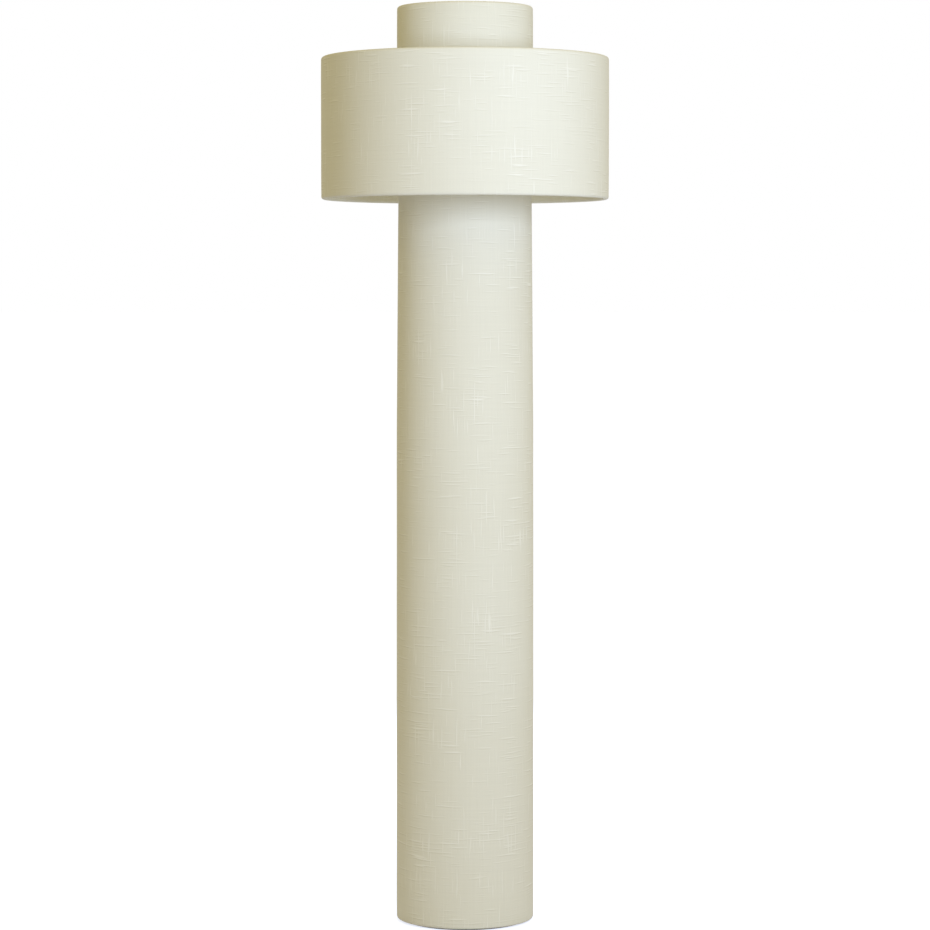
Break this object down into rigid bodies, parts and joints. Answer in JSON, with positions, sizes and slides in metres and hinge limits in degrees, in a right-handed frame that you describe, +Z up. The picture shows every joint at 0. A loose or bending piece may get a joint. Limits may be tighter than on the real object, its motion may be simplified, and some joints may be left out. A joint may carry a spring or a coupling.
{
  "type": "column floor lamp",
  "caption": "Tall floor lamp: a round linen column over a weighted base, with a wide linen drum shade and a short collar at its head.",
  "frame": {"origin": "on the floor, in the middle of the base", "axes": "+Z up along the pole, -Y towards the front, where the switch knob is, +X to the right seen from the front"},
  "size_m": [0.4999, 0.5, 1.6],
  "materials": {
    "linen": "matt slub linen, off-white",
    "shade_backing": "matt white sheet",
    "white_enamel": "powder-coated wire",
    "pole_enamel": "satin powder coat",
    "cast_plate": "black primer over sand casting",
    "foam_pad": "closed-cell foam",
    "zinc_steel": "zinc plated",
    "satin_nickel": "satin nickel plate",
    "socket_brass": "drawn and lacquered",
    "insulating_card": "pressed fibre",
    "black_phenolic": "moulded",
    "cap_aluminium": "drawn",
    "opal_glass": "opal, satin",
    "grommet_rubber": "moulded"
  },
  "bodies": {
    "root": {"floor_pad": "foam_pad", "base_plate": "cast_plate", "base_bolt": "zinc_steel", "base_washer": "zinc_steel", "pole_foot": "pole_enamel", "pole_lower": "pole_enamel", "pole_coupler": "zinc_steel", "pole_upper": "pole_enamel", "pole_cap": "pole_enamel", "outlet_bushing": "black_phenolic", "column_skin": "linen", "column_liner": "shade_backing", "column_bottom_ring": "white_enamel", "column_spider": "white_enamel", "cord_grommet": "grommet_rubber", "lamp_tube": "zinc_steel", "column_locknut": "zinc_steel", "harp_saddle": "satin_nickel", "harp": "satin_nickel", "harp_stud": "satin_nickel", "socket_cap": "socket_brass", "socket_shell": "socket_brass", "socket_sleeve": "insulating_card", "switch_block": "black_phenolic", "centre_contact": "socket_brass", "screw_shell": "cap_aluminium", "bulb_tip": "black_phenolic", "bulb_cap": "cap_aluminium", "bulb_globe": "opal_glass"},
    "hat": {"hat_spider": "white_enamel", "drum_skin": "linen", "drum_liner": "shade_backing", "drum_bottom_ring": "white_enamel", "collar_skin": "linen", "collar_liner": "shade_backing", "collar_top_ring": "white_enamel"},
    "finial": {"finial": "satin_nickel"},
    "switch": {"switch_spindle": "socket_brass", "switch_knob": "black_phenolic"},
    "ferrule_left": {"harp_ferrule_left": "satin_nickel"},
    "ferrule_right": {"harp_ferrule_right": "satin_nickel"}
  },
  "joints": [
    {"name": "hat_lift", "type": "slide", "parent": "root", "child": "hat", "axis": [0, 0, 1], "range_m": [0, 0.3]},
    {"name": "finial_turn", "type": "hinge", "parent": "hat", "child": "finial", "pos_m": [0, 0, 1.5], "axis": [0, 0, 1], "continuous": true},
    {"name": "switch_turn", "type": "hinge", "parent": "root", "child": "switch", "pos_m": [0, -0.02, 1.3401], "axis": [0, -1, 0], "continuous": true},
    {"name": "ferrule_left_lift", "type": "slide", "parent": "root", "child": "ferrule_left", "axis": [0, 0, 1], "range_m": [0, 0.012]},
    {"name": "ferrule_right_lift", "type": "slide", "parent": "root", "child": "ferrule_right", "axis": [0, 0, 1], "range_m": [0, 0.012]}
  ]
}
